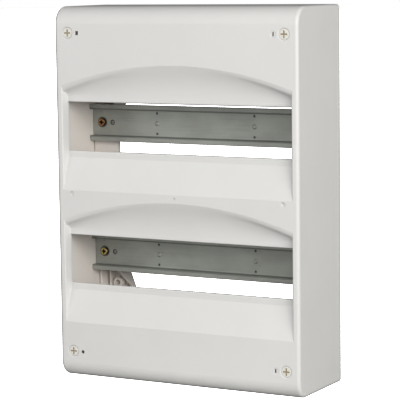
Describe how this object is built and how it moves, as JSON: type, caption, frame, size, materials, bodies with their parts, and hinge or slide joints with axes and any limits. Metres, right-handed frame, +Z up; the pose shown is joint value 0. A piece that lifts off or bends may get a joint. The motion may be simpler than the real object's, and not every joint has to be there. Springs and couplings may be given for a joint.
{
  "type": "two-row modular distribution box",
  "caption": "Surface-mounted breaker enclosure with two rows of top-hat rail behind recessed windows, a deep lift-off cover and quarter-turn corner fasteners.",
  "frame": {"origin": "centre of the overall box in plan, at the underside of the cover", "axes": "+Z up the box, +X to the right seen from the front, -Y out of the front towards the user; the back that lies on the wall faces +Y"},
  "size_m": [0.25, 0.088, 0.348],
  "materials": {
    "cover_white": "satin, very fine moulded texture",
    "frame_white": "satin",
    "fastener_cream": "semi-gloss",
    "spring_steel": "plain",
    "rail_galvanised": "galvanised and passivated, dull",
    "screw_copper": "coppery passivate",
    "screw_brass": "yellow passivate",
    "bar_brass": "milled",
    "zinc_steel": "bright zinc",
    "holder_green": "satin",
    "holder_blue": "satin"
  },
  "bodies": {
    "base": {"base_frame": "frame_white", "left_upright": "frame_white", "right_upright": "frame_white", "lower_din_rail": "rail_galvanised", "upper_din_rail": "rail_galvanised", "lower_rail_screws": "screw_brass", "upper_rail_screws": "screw_copper", "earth_bar": "bar_brass", "earth_bar_screws": "zinc_steel", "earth_bar_holders": "holder_green", "neutral_bar": "bar_brass", "neutral_bar_screws": "zinc_steel", "neutral_bar_holders": "holder_blue", "holder_screws": "zinc_steel", "bottom_entry_plate": "frame_white", "top_entry_plate": "frame_white"},
    "cover": {"front_cover": "cover_white", "fastener_retainers": "spring_steel"},
    "fastener_bottom_left": {"cover_fastener_bottom_left": "fastener_cream"},
    "fastener_bottom_right": {"cover_fastener_bottom_right": "fastener_cream"},
    "fastener_top_left": {"cover_fastener_top_left": "fastener_cream"},
    "fastener_top_right": {"cover_fastener_top_right": "fastener_cream"}
  },
  "joints": [
    {"name": "cover_lift_off", "type": "slide", "parent": "base", "child": "cover", "axis": [0, -1, 0], "range_m": [0, 0.11]},
    {"name": "turn_bottom_left", "type": "hinge", "parent": "cover", "child": "fastener_bottom_left", "pos_m": [-0.1115, 0, 0.0244], "axis": [0, 1, 0], "range_deg": [0, 90]},
    {"name": "turn_bottom_right", "type": "hinge", "parent": "cover", "child": "fastener_bottom_right", "pos_m": [0.1115, 0, 0.0244], "axis": [0, 1, 0], "range_deg": [0, 90]},
    {"name": "turn_top_left", "type": "hinge", "parent": "cover", "child": "fastener_top_left", "pos_m": [-0.1115, 0, 0.3236], "axis": [0, 1, 0], "range_deg": [0, 90]},
    {"name": "turn_top_right", "type": "hinge", "parent": "cover", "child": "fastener_top_right", "pos_m": [0.1115, 0, 0.3236], "axis": [0, 1, 0], "range_deg": [0, 90]}
  ]
}
